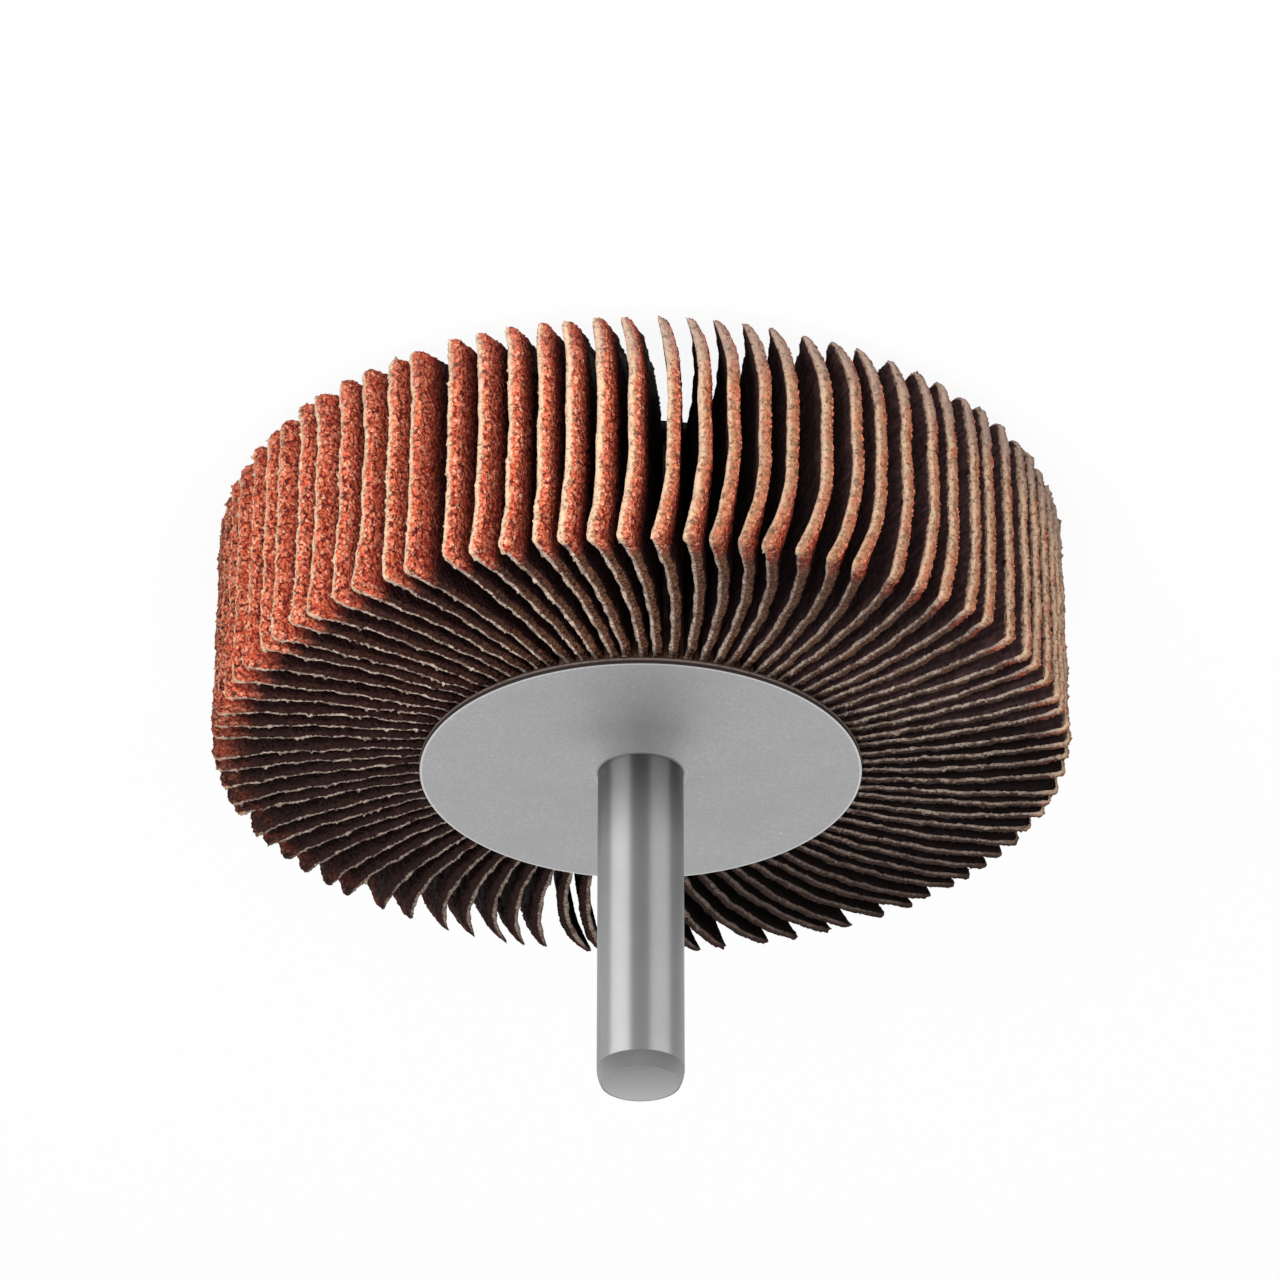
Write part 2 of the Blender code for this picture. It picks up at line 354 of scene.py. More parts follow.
@dataclass(frozen=True)
class GritCoat:
    """Orange abrasive grain in resin, with painted shade: darker and redder at the rear, darker on the far
    (+Y) side, in the hollows between grains and down between the flaps.
    """

    low_tone: Color = (0.36, 0.046, 0.024)
    tone: Color = (0.61, 0.110, 0.052)
    high_tone: Color = (0.76, 0.215, 0.115)
    glint: Color = (0.90, 0.430, 0.290)
    shade: Color = (0.018, 0.006, 0.006)
    # Painted shade: this dark colour darkens the far (+Y) side of the wheel.
    painted_shade: Color = (0.0180, 0.0090, 0.0080)
    tone_places: tuple[float, ...] = (0.28, 0.44, 0.60, 0.74)
    grain_size: float = 0.00030
    grain_height: float = 0.00020
    fineness: float = 0.6
    chance_share: float = 0.35
    pit_fill: float = 0.7
    rear_share: Mask = ("X", 0.006, -0.004, 0.15, 0.75)
    rear_waver: Pair = (0.0009, 0.0040)
    # How the painted shade of the far (+Y) side wavers, where it starts and how dark it gets.
    far_shade_waver: Pair = (0.0016, 0.008)
    far_shade_reach: Pair = (-0.012, 0.004)
    far_shade_share: float = 0.95
    far_shade_clumps: Mask = ("clumps", 0.38, 0.62, 0.84, 1.05)
    # Painted shade: dark pits in the hollows between grains, where the bump is lowest.
    hollow_shade: Layer = ((0.125, 0.016, 0.013), ("hollows", 0.11, 0.42))
    patches: Layer = (low_tone, ("patches", 0.40, 0.75, 0.0, 0.20))
    # Painted shade: darker and redder towards the rear edge, more so towards -X.
    rear_shade: Layer = ((0.26, 0.060, 0.045), ("height", 0.0060, 0.0018), rear_share)
    dusty: Layer = ((0.60, 0.300, 0.160), ("worn", 0.16, 0.50, 0.55, 0.0))
    # Painted shade: darker red further down from the tip, between the flaps.
    between_flaps_shade: Layer = ((0.230, 0.022, 0.014), ("from_tip", 0.2, 1.7, 0.0, 0.65))
    face_shade: Layer = (shade, ("from_tip", 0.9, 2.9))
    edge_shade: Layer = (shade, ("from_tip", 0.9, 3.2))

    def grain(self, sheet: ShaderSheet) -> tuple[Socket, Socket]:
        """Makes the grain's colour, with painted shade in its hollows and towards the rear, and its relief.

        Args:
            sheet: The material under construction.

        Returns:
            The colour and the height.
        """
        middle, chance = sheet.grains(self.grain_size)
        fine = sheet.noise(self.grain_size * self.fineness, 2.0, 0.6)
        mixed = sheet.plus(sheet.times(chance, self.chance_share), sheet.times(fine, 1.0 - self.chance_share))
        tones = (self.low_tone, self.tone, self.high_tone, self.glint)
        sheet.sources.update(
            hollows=sheet.minus(middle, sheet.times(fine, self.pit_fill)),
            patches=sheet.noise(0.0030, 3.0),
            height=sheet.wavering("Z", *self.rear_waver))
        color = sheet.tones(mixed, list(zip(self.tone_places, tones)))
        color = sheet.layered(color, self.hollow_shade, self.patches, self.rear_shade)
        return color, sheet.minus(sheet.times(fine, 0.5), middle)

    def far_shaded(self, sheet: ShaderSheet, color: Socket, most: float) -> Socket:
        """Paints shade over a colour on the far (+Y) side of the wheel.

        Args:
            sheet: The material under construction.
            color: The colour.
            most: Share of the painted shade where it is darkest.

        Returns:
            The colour with its painted shade.
        """
        side = sheet.wavering("Y", *self.far_shade_waver)
        sheet.sources.update(side=side, clumps=sheet.noise(0.0009, 4.0, 0.65))
        return sheet.layered(color, (self.painted_shade, ("side", *self.far_shade_reach, 0.0, most), self.far_shade_clumps))

    def material(self) -> Material:
        """Makes the material."""
        sheet = ShaderSheet("orange_grit")
        color, height = self.grain(sheet)
        frayed = sheet.times(sheet.noise(0.00030, 2.0), 0.4)
        sheet.sources["worn"] = sheet.plus(sheet.attribute("from_edge"), frayed)
        # Real pale dust near the edges, then painted shade down between the flaps and on the far (+Y) side.
        color = sheet.layered(color, self.dusty, self.between_flaps_shade, self.face_shade)
        color = self.far_shaded(sheet, color, self.far_shade_share)
        return sheet.finished(Base_Color=color, Roughness=0.65, Specular_IOR_Level=0.05,
                              Normal=sheet.bump(height, self.grain_height))


@dataclass(frozen=True)
class BackingCloth:
    """Dark resin-filled cotton cloth, the back of each flap, frayed pale along the tip, with painted shade on
    the far (+Y) side.
    """

    resin: Color = (0.030, 0.017, 0.018)
    yarn_size: float = 0.00034
    yarn_length: float = 0.0025
    yarn_height: float = 0.00005
    yarn: Layer = ((0.066, 0.037, 0.037), ("weave", 0.15, 0.36))
    blots: Layer = (resin, ("blots", 0.45, 0.75, 0.0, 0.7))
    # Painted shade: darker on the far (+Y) side, where the pale fray below is left out too.
    painted_shade: Layer = ((0.006, 0.005, 0.005), ("Y", 0.000, -0.009, 0.85, 0.0))
    frayed: Layer = ((0.46, 0.320, 0.220), ("Y", 0.000, -0.009), ("tip", 0.45, 0.75, 0.85, 0.0))

    def material(self) -> Material:
        """Makes the material."""
        sheet = ShaderSheet("dark_backing_cloth", warp=(self.yarn_size, 2.0), blots=(0.0012, 4.0, 0.6))
        warp = sheet.sources["warp"]
        weft = sheet.noise(1.0, 2.0, 0.5, sheet.drawn_out(self.yarn_length, self.yarn_size))
        weave = sheet.times(weft, warp)
        sheet.sources.update(weave=weave, tip=sheet.plus(sheet.attribute("from_tip"), sheet.times(warp, 0.7)))
        color = sheet.layered(self.resin, self.yarn, self.blots, self.painted_shade, self.frayed)
        return sheet.finished(Base_Color=color, Roughness=0.85, Specular_IOR_Level=0.0,
                              Normal=sheet.bump(weave, self.yarn_height))


@dataclass(frozen=True)
class CutFlapEdge:
    """The cut edges of a flap: a pale frayed line of cotton beside the broken edge of the grit coat, with
    painted shade on the far (+Y) side, towards -X and towards the rear.
    """

    coat: GritCoat
    pale: Color = (0.74, 0.570, 0.410)
    tan: Color = (0.48, 0.260, 0.130)
    deep_tan: Color = (0.27, 0.120, 0.062)
    dim: Color = (0.31, 0.240, 0.200)
    speck: Color = (0.060, 0.022, 0.015)
    lump_height: float = 0.00016
    lump_share: float = 0.8
    cotton_swing: float = 0.7
    # Shares of painted shade on the far (+Y) side, over the coat and over the whole edge.
    coat_far_shade: float = 0.94
    all_far_shade: float = 0.30
    tip_share: float = 0.64
    side_share: Mask = ("X", -0.016, 0.006, 0.20, 0.42)
    coat_reach: Mask = ("from_tip", 0.2, 1.4)
    coat_line: Mask = ("past_line", -0.10, 0.10)
    widening: Mask = ("X", -0.010, 0.004, 0.0, 0.20)
    cotton_line: Mask = ("cotton", 0.16, 0.40, 0.38, 0.90)
    # Mask for the -X side of the wheel, read by the tan near the tip and by painted shade.
    minus_x_side: Mask = ("X", 0.006, -0.012)
    deep_beads: Layer = (deep_tan, ("beads", 0.42, 0.60))
    rusty_blots: Layer = ((0.50, 0.125, 0.058), ("blots", 0.46, 0.62, 0.0, 0.75))
    # Lighter beads on the dim cotton: partly mottle, partly painted highlights. The dim cotton further in
    # from the tip is partly dust, partly painted shade.
    mottle_and_highlight_beads: Layer = ((0.64, 0.515, 0.430), ("beads", 0.38, 0.58))
    dust_and_shade_inward: Mask = ("from_tip", 0.3, 1.2, 0.0, 0.92)
    inward: Mask = ("from_tip", 0.5, 2.0)
    dark_lumps: Layer = (speck, ("lumps", 0.54, 0.66, 0.0, 0.55))
    dark_beads: Layer = (speck, inward, ("beads", 0.58, 0.68, 0.0, 0.70))
    dark_blots: Layer = (speck, inward, ("blots", 0.52, 0.66, 0.0, 0.60))
    worn: Layer = (deep_tan, ("from_tip", 1.6, 3.0), ("lumps", 0.36, 0.62), ("Y", -0.004, -0.015, 0.0, 0.85),
                   ("X", 0.013, -0.002, 0.12, 1.0))
    crumbs: Layer = ((0.060, 0.030, 0.020), ("from_tip", 0.3, 0.9), ("beads", 0.56, 0.70, 0.0, 0.6))
    tanned: Layer = (tan, minus_x_side, ("from_tip", 1.2, 0.4, 0.0, 0.5))
    specks: Layer = (speck, ("specks", 0.56, 0.66, 0.0, 0.6))
    # Painted shade: a dark grey film over the -X side, more of it further from the tip.
    minus_x_shade: Layer = ((0.050, 0.034, 0.028), minus_x_side, ("from_tip", 0.3, 1.4, 0.30, 0.52))
    # Painted shade: darker and greyer towards the rear edge, more so towards -X.
    rear_shade_tone: Color = (0.32, 0.240, 0.205)
    rear_reach: Mask = ("Z", 0.0065, 0.0020)
    # Painted shade on the far (+Y) side: more of it towards -X, and more near the far tips.
    far_side_shade: tuple[Mask, ...] = (("X", 0.004, -0.008, 0.45, 1.0), ("Y", 0.008, 0.020, 0.0, 0.68))
    far_tip_shade: tuple[Mask, ...] = (("from_tip", 1.6, 0.6), ("Y", 0.006, 0.016, 0.0, 0.85))

    def cotton(self, sheet: ShaderSheet) -> Socket:
        """Makes the frayed line of cotton: pale at the tip, dimmer further in with dust and painted shade,
        with lighter beads that are partly painted highlights, and broken by dark specks.

        Args:
            sheet: The material under construction.

        Returns:
            The colour.
        """
        line = sheet.minus(sheet.attribute("layer"), sheet.mask(self.widening))
        sheet.sources["cotton"] = sheet.plus(line, sheet.swing(sheet.sources["lumps"], self.cotton_swing))
        brown = sheet.layered(self.tan, self.deep_beads, self.rusty_blots)
        # The dim cotton further in: dust and painted shade, with beads that are partly painted highlights.
        dusty = sheet.layered(self.dim, self.mottle_and_highlight_beads)
        return sheet.layered(self.pale, (brown, self.cotton_line), (dusty, self.dust_and_shade_inward),
                             self.dark_lumps, self.dark_beads, self.dark_blots)

    def coated(self, sheet: ShaderSheet) -> Socket:
        """Gives where the edge shows the grit coat and not the cotton, along a ragged line.

        Args:
            sheet: The material under construction.

        Returns:
            The share of the coat.
        """
        swing = sheet.swing(sheet.sources["lumps"], sheet.mask((*self.coat_reach, 1.0, 0.5)))
        line = sheet.mask((*self.coat_reach, self.tip_share, sheet.mask(self.side_share)))
        sheet.sources["past_line"] = sheet.minus(sheet.plus(sheet.attribute("layer"), swing), line)
        return sheet.mask(self.coat_line)

    def material(self) -> Material:
        """Makes the material."""
        sheet = ShaderSheet("cut_flap_edge", lumps=(0.00024, 3.0, 0.6), beads=(0.00042, 2.0),
                            blots=(0.0014, 3.0, 0.6), specks=(0.00040, 3.0, 0.6))
        coat = self.coat
        grit, height = coat.grain(sheet)
        grit = sheet.layered(grit, coat.edge_shade, self.worn, self.crumbs)
        # Painted shade on the far (+Y) side over the coat, then the tan of the -X side near the tip.
        grit = sheet.layered(coat.far_shaded(sheet, grit, self.coat_far_shade), self.tanned)
        coated = self.coated(sheet)
        color = sheet.blend(coated, self.cotton(sheet), grit)
        # Painted shade towards the rear and real dark specks, then painted shade on the far (+Y) side, on the
        # -X side and at the far tips.
        color = sheet.layered(color, (self.rear_shade_tone, self.rear_reach, coat.rear_share), self.specks)
        color = coat.far_shaded(sheet, color, self.all_far_shade)
        color = sheet.layered(color, (coat.painted_shade, *self.far_side_shade), self.minus_x_shade, (coat.painted_shade, *self.far_tip_shade))
        relief = sheet.plus(sheet.times(coated, height), sheet.times(sheet.sources["lumps"], self.lump_share))
        return sheet.finished(Base_Color=color, Roughness=0.78, Specular_IOR_Level=0.04,
                              Normal=sheet.bump(relief, self.lump_height))


@dataclass(frozen=True)
class CuredResin:
    """Dark brown cured resin, drawn up between the flap roots."""

    deep: Color = (0.020, 0.010, 0.008)
    drop_height: float = 0.00012
    amber: Layer = ((0.095, 0.040, 0.020), ("drops", 0.35, 0.75))
    gloss: Mask = ("clouds", 0.3, 0.7, 0.30, 0.55)

    def material(self) -> Material:
        """Makes the material."""
        sheet = ShaderSheet("cured_resin", drops=(0.0009, 3.0), clouds=(0.0020, 2.0))
        color = sheet.layered(self.deep, self.amber)
        return sheet.finished(Base_Color=color, Roughness=sheet.mask(self.gloss),
                              Normal=sheet.bump(sheet.sources["drops"], self.drop_height))


@dataclass(frozen=True)
class PressedSheetSteel:
    """Matt grey sheet steel: fine grain, a few small marks, and painted highlights at its rim and its hole.
    """

    grey: Color = (0.396, 0.396, 0.401)
    dull: Color = (0.340, 0.340, 0.345)
    # Painted highlight tone for the rim and the hole.
    highlight_grey: Color = (0.62, 0.62, 0.61)
    grain_height: float = 0.000014
    wave_height: float = 0.00001
    clouds: Layer = (dull, ("clouds", 0.35, 0.70, 0.0, 0.35))
    grain: Layer = (dull, ("grain", 0.38, 0.62, 0.0, 0.90))
    marks: Layer = ((0.56, 0.56, 0.56), ("marks", 0.70, 0.78, 0.0, 0.4))
    # Painted highlights: a light band at the rounded rim and a faint ring at the hole.
    rim: Layer = (highlight_grey, ("radius", 0.01526, 0.01536, 0.0, 0.75))
    hole: Layer = (highlight_grey, ("radius", 0.00336, 0.00330, 0.0, 0.2))
    gloss: Mask = ("clouds", 0.3, 0.7, 0.49, 0.52)

    def material(self) -> Material:
        """Makes the material."""
        sheet = ShaderSheet("pressed_sheet_steel", clouds=(0.0040, 4.0, 0.55), grain=(0.00018, 3.0, 0.65),
                            marks=(0.00075, 2.0))
        color = sheet.layered(self.grey, self.clouds, self.grain, self.marks, self.rim, self.hole)
        waves = sheet.bump(sheet.noise(0.0070, 2.0), self.wave_height)
        return sheet.finished(Base_Color=color, Metallic=1.0, Roughness=sheet.mask(self.gloss),
                              Normal=sheet.bump(sheet.sources["grain"], self.grain_height, waves))


@dataclass(frozen=True)
class ShadedRim:
    """The cut edge of a disc, painted dark as shade, and under the front disc the thin tan edge of its fibre
    washer.
    """

    # Painted shade: the dark colour of the discs' rims, which also mottles the washer's edge.
    painted_shade: Color = (0.022, 0.016, 0.015)
    fibre: Color = (0.12, 0.085, 0.070)
    grime_height: float = 0.00004
    grime: Layer = (painted_shade, ("grime", 0.45, 0.70, 0.0, 0.6))
    fibre_band: tuple[Mask, ...] = (("Z", 0.01911, 0.01917), ("Z", 0.01931, 0.01925))

    def material(self) -> Material:
        """Makes the material."""
        sheet = ShaderSheet("shaded_rim_and_washer", grime=(0.0006, 3.0, 0.6))
        color = sheet.layered(self.painted_shade, (sheet.layered(self.fibre, self.grime), *self.fibre_band))
        return sheet.finished(Base_Color=color, Roughness=0.75, Specular_IOR_Level=0.2,
                              Normal=sheet.bump(sheet.sources["grime"], self.grime_height))


@dataclass(frozen=True)
class TurnedShankSteel:
    """Bright turned steel, darker at its foot by painted shade: fine rings draw its highlights out along the
    shank.
    """

    steel: Color = (0.28, 0.28, 0.28)
    ring_size: float = 0.00016
    ring_length: float = 0.025
    ring_height: float = 0.000002
    dull: Layer = ((0.26, 0.26, 0.26), ("clouds", 0.35, 0.7))
    # Painted shade: darker towards the foot, next to the disc.
    foot_shade: Layer = ((0.055, 0.055, 0.055), ("Z", 0.0190, 0.0272, 0.90, 0.0))
    gloss: tuple[Mask, ...] = (("rings", 0.3, 0.7, 0.40, 0.46), ("Z", 0.0190, 0.0272, 0.70, 1.0))

    def material(self) -> Material:
        """Makes the material."""
        sheet = ShaderSheet("turned_shank_steel", clouds=(0.0050, 3.0))
        rings = sheet.noise(1.0, 3.0, 0.7, sheet.drawn_out(self.ring_length, self.ring_size))
        sheet.sources["rings"] = rings
        tangent = sheet.add("Tangent", {}, 0, direction_type="RADIAL", axis="Z")
        return sheet.finished(Base_Color=sheet.layered(self.steel, self.dull, self.foot_shade), Metallic=1.0,
                              Roughness=sheet.mask(*self.gloss), Anisotropic=0.9, Anisotropic_Rotation=0.25,
                              Tangent=tangent, Normal=sheet.bump(rings, self.ring_height))


@dataclass(frozen=True)
class FacedEndSteel:
    """The shank's end, faced flat and rubbed dull, with painted shading: darker on the near (-Y) side and
    paler towards the far side, a darker rounded edge, and a dark ring along the far edge of the face.
    """

    # Painted shading: the face blends from dull on the near (-Y) side to steel on the far side.
    steel: Color = (0.42, 0.42, 0.42)
    dull: Color = (0.21, 0.21, 0.21)
    # Painted shade on the rounded edge, paler towards +Y and a little towards the face.
    round_shade: Color = (0.092, 0.092, 0.092)
    round_side: Color = (0.29, 0.290, 0.290)
    half: float = 0.0028
    grain_height: float = 0.000008
    paler: Layer = (round_side, ("Y", -0.0028, 0.0002))
    fading: Layer = (round_side, ("Z", 0.0424, 0.0435, 0.0, 0.07))
    rounding: Mask = ("Z", 0.043549, 0.043535)
    # Painted shade, not a burr: a thin dark ring along the far (+Y) edge of the face.
    burr: Layer = ((0.080, 0.080, 0.080), ("Y", -0.0004, 0.0010, 0.0, 0.75), ("radius", 0.00258, 0.00266))

    def material(self) -> Material:
        """Makes the material."""
        sheet = ShaderSheet("faced_end_steel", grain=(0.00014, 3.0, 0.65))
        # Painted shading across the face, darker towards the near (-Y) side.
        across = sheet.plus(sheet.times(sheet.along("Y"), 0.5 / self.half), 0.5)
        color = sheet.blend(across, self.dull, self.steel)
        rounding = sheet.layered(self.round_shade, self.paler, self.fading)
        color = sheet.layered(color, (rounding, self.rounding), self.burr)
        return sheet.finished(Base_Color=color, Metallic=0.0, Roughness=0.7, Specular_IOR_Level=0.05,
                              Normal=sheet.bump(sheet.sources["grain"], self.grain_height))


@dataclass
class SheetPlan:
    """Flat plan of one cut sheet, in millimetres: out along its length, then across its width.

    The outline is shared by both faces. Points lie close together where the sheet is seen and worn, and far
    apart down between its neighbours.
    """

    length: float
    width: float
    rear_round: float = 0.8
    front_round: float = 0.45
    tip_step: float = 0.16
    side_step: float = 0.19
    rear_step: float = 0.30
    root_step: float = 1.2
    grit_band: float = 2.4
    side_band: float = 0.35
    growth: float = 0.55
    coarsest: float = 1.3
    coarsening: float = 1.5
    edge_margin: float = 0.6
    end_margin: float = 0.4
    row_share: float = 0.866
    jitter: float = 0.22
    seed: int = 5
    outline: Array = field(init=False)
    normals: Array = field(init=False)

    def __post_init__(self) -> None:
        """Lays out the outline and its outward directions, anticlockwise from the root's rear corner."""
        length, width, rear, front = self.length, self.width, self.rear_round, self.front_round
        runs = [self.straight((0.0, 0.0), (length - rear, 0.0), self.rear_step),
                self.arc((length - rear, rear), rear, -0.5 * math.pi),
                self.straight((length, rear), (length, width - front), self.tip_step),
                self.arc((length - front, width - front), front, 0.0),
                self.straight((length - front, width), (0.0, width), self.side_step),
                self.straight((0.0, width), (0.0, 0.0), self.root_step)]
        self.outline = np.concatenate([points for points, _ in runs])
        self.normals = np.concatenate([normals for _, normals in runs])

    @staticmethod
    def straight(start: Pair, end: Pair, step: float) -> tuple[Array, Array]:
        """Lays points along a straight cut.

        Args:
            start: Where it starts.
            end: Where it ends, which is the next run's first point.
            step: Wanted distance between points.

        Returns:
            The points and their outward directions.
        """
        way = np.array(end) - np.array(start)
        reach = float(np.linalg.norm(way))
        parts = max(1, round(reach / step))
        points = np.array(start) + way * (np.arange(parts)[:, None] / parts)
        return points, np.tile((way[1] / reach, -way[0] / reach), (parts, 1))

    def arc(self, centre: Pair, radius: float, start: float) -> tuple[Array, Array]:
        """Lays points along a rounded corner, a quarter turn anticlockwise.

        Args:
            centre: Centre of the round.
            radius: Its radius.
            start: Angle that it starts at.

        Returns:
            The points and their outward directions.
        """
        parts = max(2, round(0.5 * math.pi * radius / self.tip_step))
        angles = start + 0.5 * math.pi * np.arange(parts) / parts
        normals = np.stack([np.cos(angles), np.sin(angles)], 1)
        return np.array(centre) + radius * normals, normals

    def edge_gap(self, points: Array) -> Array:
        """Gives the distance from the cut edges that show.

        Args:
            points: Places on the plan.

        Returns:
            The distance of each, in millimetres.
        """
        tip = self.length - points[:, 0]
        gap = np.minimum(np.minimum(points[:, 1], self.width - points[:, 1]), tip)
        corners = ((self.rear_round, points[:, 1]), (self.front_round, self.width - points[:, 1]))
        for radius, side in corners:
            corner = radius - np.hypot(radius - tip, radius - side)
            gap = np.where((tip < radius) & (side < radius), corner, gap)
        return gap

    def target_step(self, points: Array, side: Side) -> Array:
        """Gives the wanted distance between points.

        Args:
            points: Places on the plan.
            side: The face they are on.

        Returns:
            The wanted distance at each place.
        """
        tip = self.length - points[:, 0]
        front = self.width - points[:, 1]
        if side is Side.GRIT:
            tip = np.maximum(0.0, tip - self.grit_band)
            front = np.maximum(0.0, front - self.side_band)
        near = np.minimum(np.minimum(tip, front), points[:, 1])
        return self.tip_step + self.growth * near

    def fill(self, side: Side) -> Array:
        """Scatters points inside the outline.

        Args:
            side: The face to fill.

        Returns:
            The points.
        """
        chance = np.random.default_rng(self.seed + side.value)
        kept = []
        step = self.tip_step
        while step < self.coarsest:
            first = step * self.edge_margin
            last = step * self.end_margin
            across = np.arange(first, self.width - last, step)
            out = np.arange(first, self.length - last, step * self.row_share)
            grid = np.stack(np.meshgrid(out, across, indexing="ij"), -1)
            grid[1::2, :, 1] += step * 0.5
            shifts = chance.uniform(-self.jitter, self.jitter, (grid.size // 2, 2))
            points = grid.reshape(-1, 2) + shifts * step
            wanted = self.target_step(points, side)
            coarser = step * self.coarsening
            highest = math.inf if coarser >= self.coarsest else coarser
            inside = (self.edge_gap(points) > first) & (points[:, 0] > step * 0.5)
            kept.append(points[inside & (wanted >= step) & (wanted < highest)])
            step = coarser
        return np.concatenate(kept)

    def mesh_side(self, side: Side) -> tuple[Array, Array]:
        """Fills one face with triangles.

        Args:
            side: The face to fill.

        Returns:
            Its inner points, and triangles that count the outline's points first.
        """
        inner = self.fill(side)
        points = np.concatenate([self.outline, inner])
        count = len(self.outline)
        edges = [(index, (index + 1) % count) for index in range(count)]
        found = geometry.delaunay_2d_cdt([Vector(point) for point in points], edges, [], 1, 1e-7)
        origin = [sources[0] for sources in found[3]]
        faces = np.array([[origin[corner] for corner in face] for face in found[2]])
        return inner, faces


@dataclass(frozen=True)
class FlapPose:
    """How one flap stands: its root's angle, its extra lean and the strength of its corner curl."""

    root_angle: float
    lean_offset: float
    curl_share: float


@dataclass
class FlapRing:
    """The ring of leaning, bowed flaps of abrasive cloth, in metres and radians."""

    count: int = 84
    wheel_radius: float = 0.0300
    core_radius: float = 0.0140
    width: float = 0.0175
    bottom: float = 0.00075
    root_lean: float = math.radians(6.0)
    tip_lean: float = math.radians(11.0)
    front_curl: float = math.radians(13.0)
    front_reach: float = 0.0080
    rear_curl: float = math.radians(9.0)
    rear_reach: float = 0.0050
    gap_bearing: float = math.radians(-67.9)
    gap_extra: float = math.radians(1.15)
    gap_reach: float = math.radians(15.0)
    crowding: float = 0.03
    crowded_bearing: float = math.radians(-87.2)
    spacing_seed: int = 3742
    spacing_spread: float = math.radians(0.35)
    lean_spread: float = math.radians(2.5)
    least_curl: float = 0.35
    curl_spread: float = 0.25
    curl_zones: tuple[tuple[float, float, float], ...] = (
        (math.radians(-123.0), 1.2, math.radians(20.0)),
        (math.radians(54.0), 1.75, math.radians(14.0)),
        (math.radians(115.0), 1.7, math.radians(35.0)))
    stray_leans: tuple[tuple[int, float], ...] = ((31, math.radians(-4.0)), (32, math.radians(8.0)))
    root_thinning: float = 0.83
    walk_parts: int = 24
    wear_seed: int = 23
    edge_rows: tuple[tuple[float, float, float], ...] = (
        (0.37, -0.17, 0.08), (0.24, -0.01, 0.09), (0.04, 0.05, 0.06),
        (-0.17, 0.06, 0.05), (-0.34, 0.02, 0.04), (-0.41, -0.10, 0.02))
    edge_lift_share: float = 0.7
    frayed_rows: tuple[int, ...] = (2, 3, 4)
    grain_lift: float = 0.41
    grain_spread: float = 0.08
    cloth_spread: float = 0.02
    fray_share: float = 0.08
    fray_reach: float = 0.22
    cut_waves: Waves = ((37.0, 0.05), (13.0, 0.04))
    cut_inset: float = 0.04
    side_waves: Waves = ((4.1, 0.045), (1.9, 0.027))
    tip_waves: Waves = ((7.0, math.radians(0.35)), (3.1, math.radians(0.175)))
    claw_reach: float = 2.6
    front_claws: tuple[float, float, float] = (math.radians(55.0), math.radians(36.0), 0.72)
    rear_claws: tuple[float, float, float] = (math.radians(-125.0), math.radians(38.0), 0.70)

    def __post_init__(self) -> None:
        """Works out the sheet length and the plan of a sheet."""
        shares = (np.arange(self.walk_parts) + 0.5) / self.walk_parts
        lean = self.root_lean + (self.tip_lean - self.root_lean) * shares ** 2
        self.length = (self.wheel_radius - self.core_radius) / float(np.cos(lean).mean())
        self.plan = SheetPlan(self.length / MM, self.width / MM)
        self.grit_inner, self.grit_faces = self.plan.mesh_side(Side.GRIT)
        self.cloth_inner, self.cloth_faces = self.plan.mesh_side(Side.CLOTH)

    def poses(self) -> list[FlapPose]:
        """Works out how each flap stands.

        The pitch is even, but for one wide gap, whose neighbours are pushed aside, and a crowded side. The
        corners curl most in three zones, and two flaps stray.
        """
        spread = random.Random(self.spacing_seed)
        strays = dict(self.stray_leans)
        pitch = math.tau / self.count
        level = self.crowding * math.sin(self.gap_bearing - self.crowded_bearing)
        poses = []
        for index in range(self.count):
            even = self.gap_bearing + (index + 0.5) * pitch
            angle = even + level - self.crowding * math.sin(even - self.crowded_bearing)
            away = math.remainder(even - self.gap_bearing, math.tau)
            angle += math.copysign(self.gap_extra / 2.0, away) * math.exp(-abs(away) / self.gap_reach)
            angle += spread.uniform(-self.spacing_spread, self.spacing_spread)
            lean_offset = spread.uniform(-self.lean_spread, self.lean_spread)
            curl_share = self.least_curl + spread.uniform(-self.curl_spread, self.curl_spread)
            for bearing, extra, width in self.curl_zones:
                curl_share += extra * math.exp(-(math.remainder(even - bearing, math.tau) / width) ** 2)
            poses.append(FlapPose(angle, strays.get(index, lean_offset), curl_share))
        return poses

    def curl(self, height: Array) -> Array:
        """Gives the extra lean of the tip, strongest at the corners.

        Args:
            height: Heights above the rear edge.

        Returns:
            The extra lean at each.
        """
        front = np.maximum(0.0, 1.0 - (self.width - height) / self.front_reach)
        rear = np.maximum(0.0, 1.0 - height / self.rear_reach)
        return self.front_curl * front ** 2 + self.rear_curl * rear ** 2

